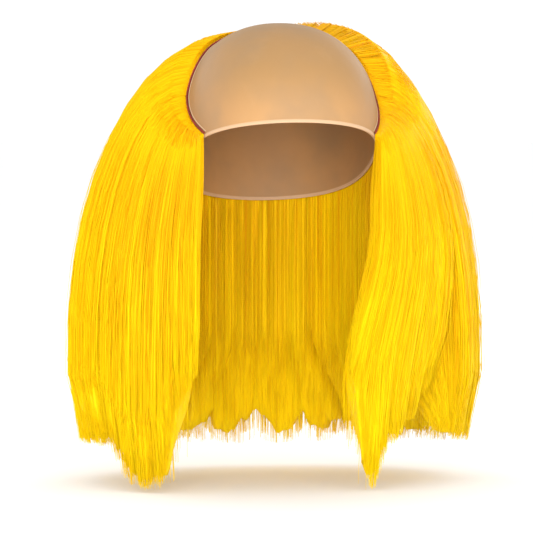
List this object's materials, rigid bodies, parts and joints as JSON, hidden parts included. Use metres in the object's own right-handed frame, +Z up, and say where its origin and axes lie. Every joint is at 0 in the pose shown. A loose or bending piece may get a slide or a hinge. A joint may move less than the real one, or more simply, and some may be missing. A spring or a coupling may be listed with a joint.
{
  "type": "clown headpiece",
  "caption": "Bald clown headpiece: a thin open rubber cap with a dark seam along its hairline and long straight yellow hair hanging at the sides and back.",
  "frame": {"origin": "middle of the cap's inner crown, where the top of the wearer's head touches it", "axes": "+Z up through the crown, -Y towards the face, +X towards the wearer's left"},
  "size_m": [0.3214, 0.2305, 0.354],
  "materials": {
    "cap_rubber": "matt skin-coloured rubber, a little mottled",
    "seam_thread": "matt dark red thread",
    "yellow_hair": "fine straight synthetic hair with a soft sheen"
  },
  "bodies": {
    "root": {"bald_cap": "cap_rubber", "seam_cord": "seam_thread", "hair_front_right": "yellow_hair", "hair_side_right": "yellow_hair", "hair_rear_right": "yellow_hair", "hair_back": "yellow_hair", "hair_rear_left": "yellow_hair", "hair_side_left": "yellow_hair", "hair_front_left": "yellow_hair"}
  },
  "joints": []
}
